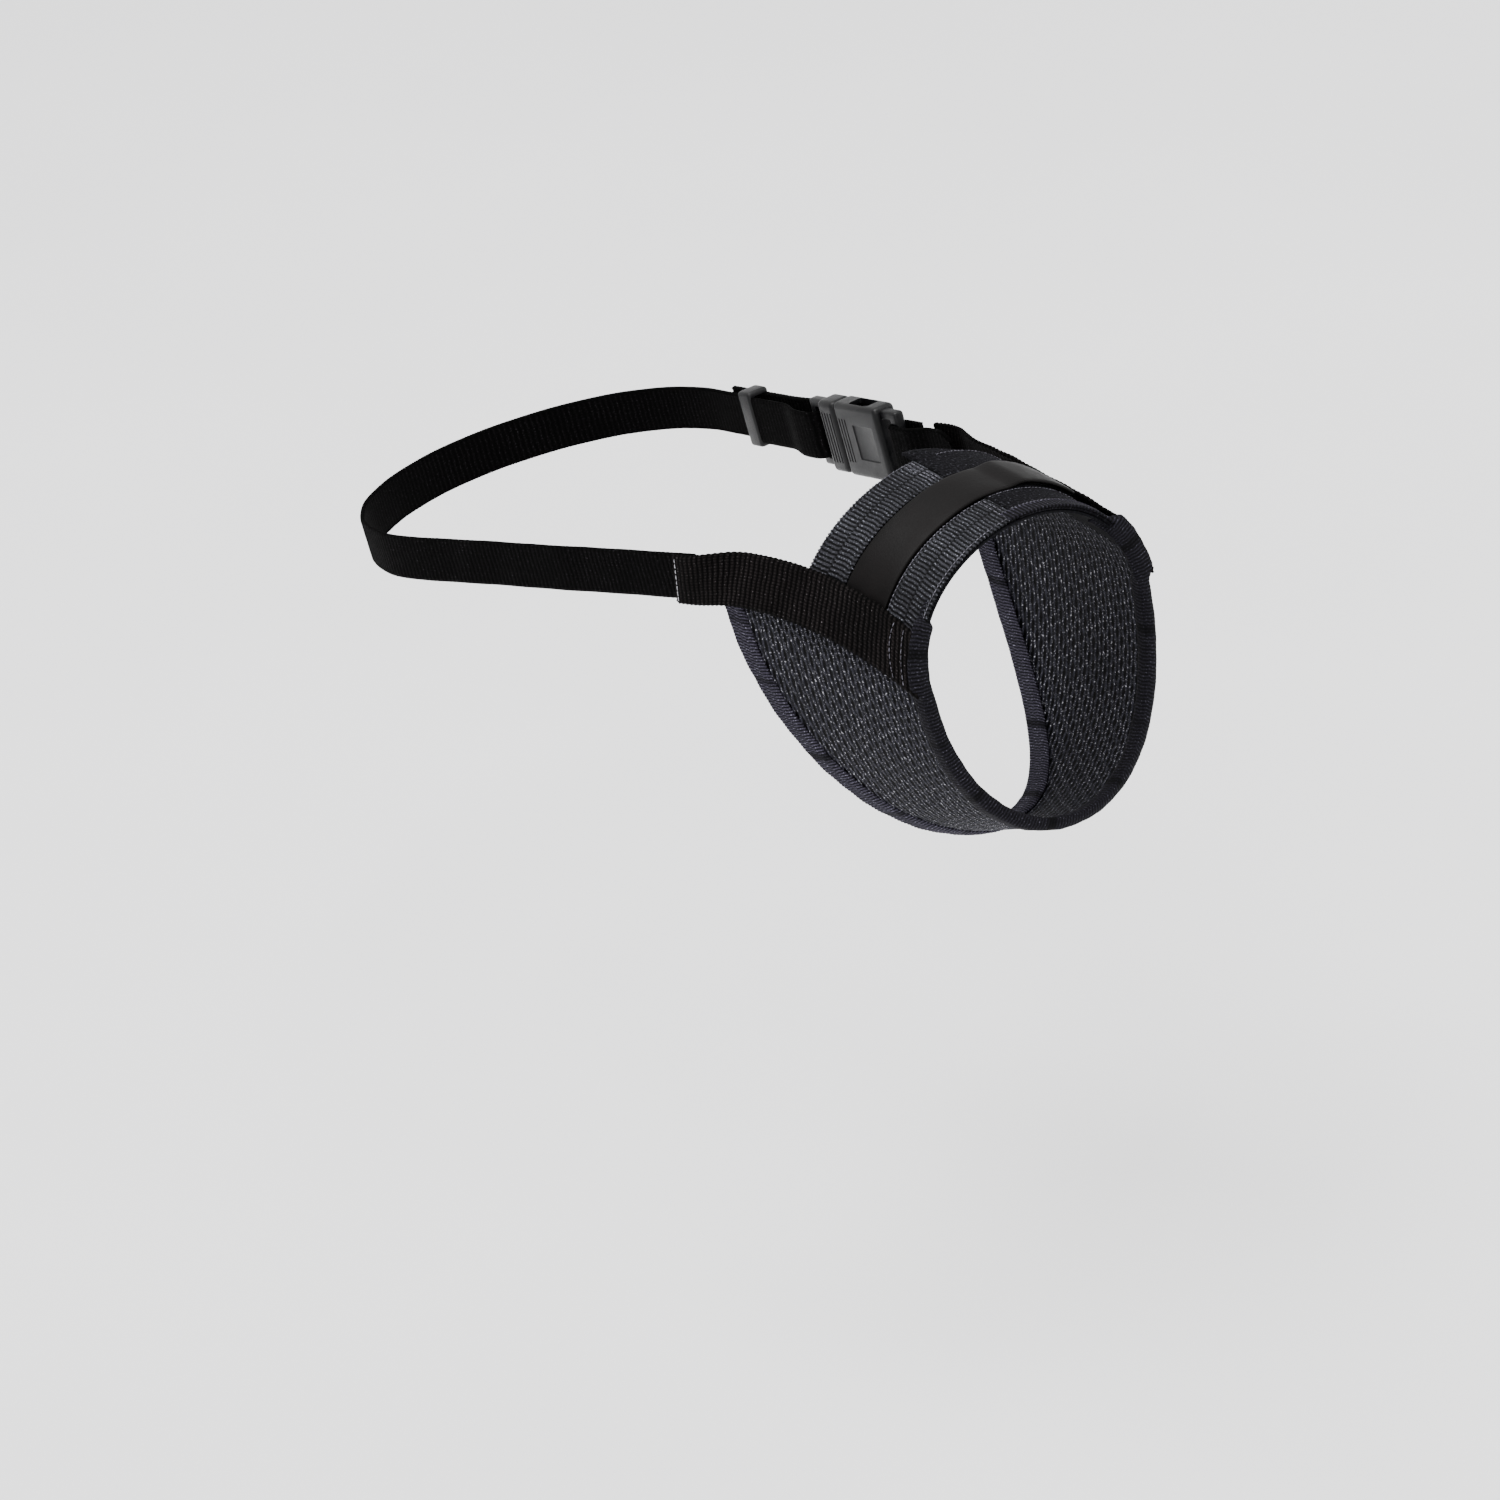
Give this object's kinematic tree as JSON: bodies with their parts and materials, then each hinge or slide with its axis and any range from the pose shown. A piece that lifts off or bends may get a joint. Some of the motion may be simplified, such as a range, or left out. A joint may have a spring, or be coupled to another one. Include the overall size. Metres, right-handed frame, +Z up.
{
  "type": "dog muzzle",
  "caption": "Soft dog muzzle: a snout sleeve of spacer mesh and webbing with an adjustable nose strap, and a neck strap with a side-release buckle.",
  "frame": {"origin": "on the snout's axis, at the middle of the nose band; the mount snout", "axes": "-Y out of the nose opening along the snout's axis, +Z up through the crown of the nose band, -X on the dog's right side"},
  "size_m": [0.1158, 0.2765, 0.1021],
  "materials": {
    "air_mesh": "matt knitted spacer mesh",
    "ribbed_tape": "ribbed woven tape, low sheen",
    "lining": "plain woven nylon",
    "loop_velour": "brushed loop velour",
    "coated_strap": "smooth coated synthetic leather, satin",
    "hook_patch": "hook tape",
    "hook_and_loop_tape": "hook-and-loop tape, finely ribbed",
    "webbing": "woven polyester webbing",
    "thread": "polyester sewing thread",
    "buckle_plastic": "moulded acetal, satin"
  },
  "bodies": {
    "sleeve": {"mesh_panel": "air_mesh", "rear_edge_binding": "ribbed_tape", "front_edge_binding": "ribbed_tape", "nose_band_lining": "lining", "front_tape": "ribbed_tape", "rear_tape": "ribbed_tape", "bridge_panel": "loop_velour", "nose_strap": "coated_strap", "side_strap_right": "hook_and_loop_tape", "side_strap_left": "hook_and_loop_tape", "front_tape_seam": "thread", "rear_tape_seam": "thread", "front_seam_1_right": "thread", "front_seam_2_right": "thread", "end_seam_right": "thread", "front_seam_1_left": "thread", "front_seam_2_left": "thread", "end_seam_left": "thread"},
    "nose_strap_end": {"nose_strap_flap": "coated_strap", "nose_strap_hook": "hook_patch"},
    "neck_loop": {"neck_strap": "webbing", "strap_tail": "webbing", "neck_lead": "webbing", "buckle_socket": "buckle_plastic"},
    "buckle_plug": {"buckle_plug": "buckle_plastic", "plug_wrap": "webbing"},
    "prong_upper": {"prong_upper": "buckle_plastic"},
    "prong_lower": {"prong_lower": "buckle_plastic"},
    "strap_keeper": {"strap_keeper": "buckle_plastic"}
  },
  "joints": [
    {"name": "neck_strap_swing", "type": "hinge", "parent": "sleeve", "child": "neck_loop", "pos_m": [0, 0.056, 0.00574], "axis": [1, 0, 0], "range_deg": [-30, 50]},
    {"name": "nose_strap_peel", "type": "hinge", "parent": "sleeve", "child": "nose_strap_end", "pos_m": [0.01797, -0.00015, 0.03267], "axis": [0, -1, 0], "range_deg": [0, 100]},
    {"name": "buckle_release", "type": "slide", "parent": "neck_loop", "child": "buckle_plug", "axis": [0.1045, 0.956, -0.2741], "range_m": [0, 0.018]},
    {"name": "prong_upper_flex", "type": "hinge", "parent": "buckle_plug", "child": "prong_upper", "pos_m": [0.04859, 0.1029, -0.00136], "axis": [0.9945, -0.1005, 0.0288], "range_deg": [0, 8], "stiffness_Nm_per_rad": 0.02},
    {"name": "prong_lower_flex", "type": "hinge", "parent": "buckle_plug", "child": "prong_lower", "pos_m": [0.04859, 0.09954, -0.01309], "axis": [0.9945, -0.1005, 0.0288], "range_deg": [-8, 0], "stiffness_Nm_per_rad": 0.02},
    {"name": "keeper_slide", "type": "slide", "parent": "neck_loop", "child": "strap_keeper", "axis": [0.1045, 0.956, -0.2741], "range_m": [-0.003, 0.009]}
  ],
  "couplings": [
    {"joint": "prong_lower_flex", "follows": "prong_upper_flex", "ratio": -1}
  ]
}
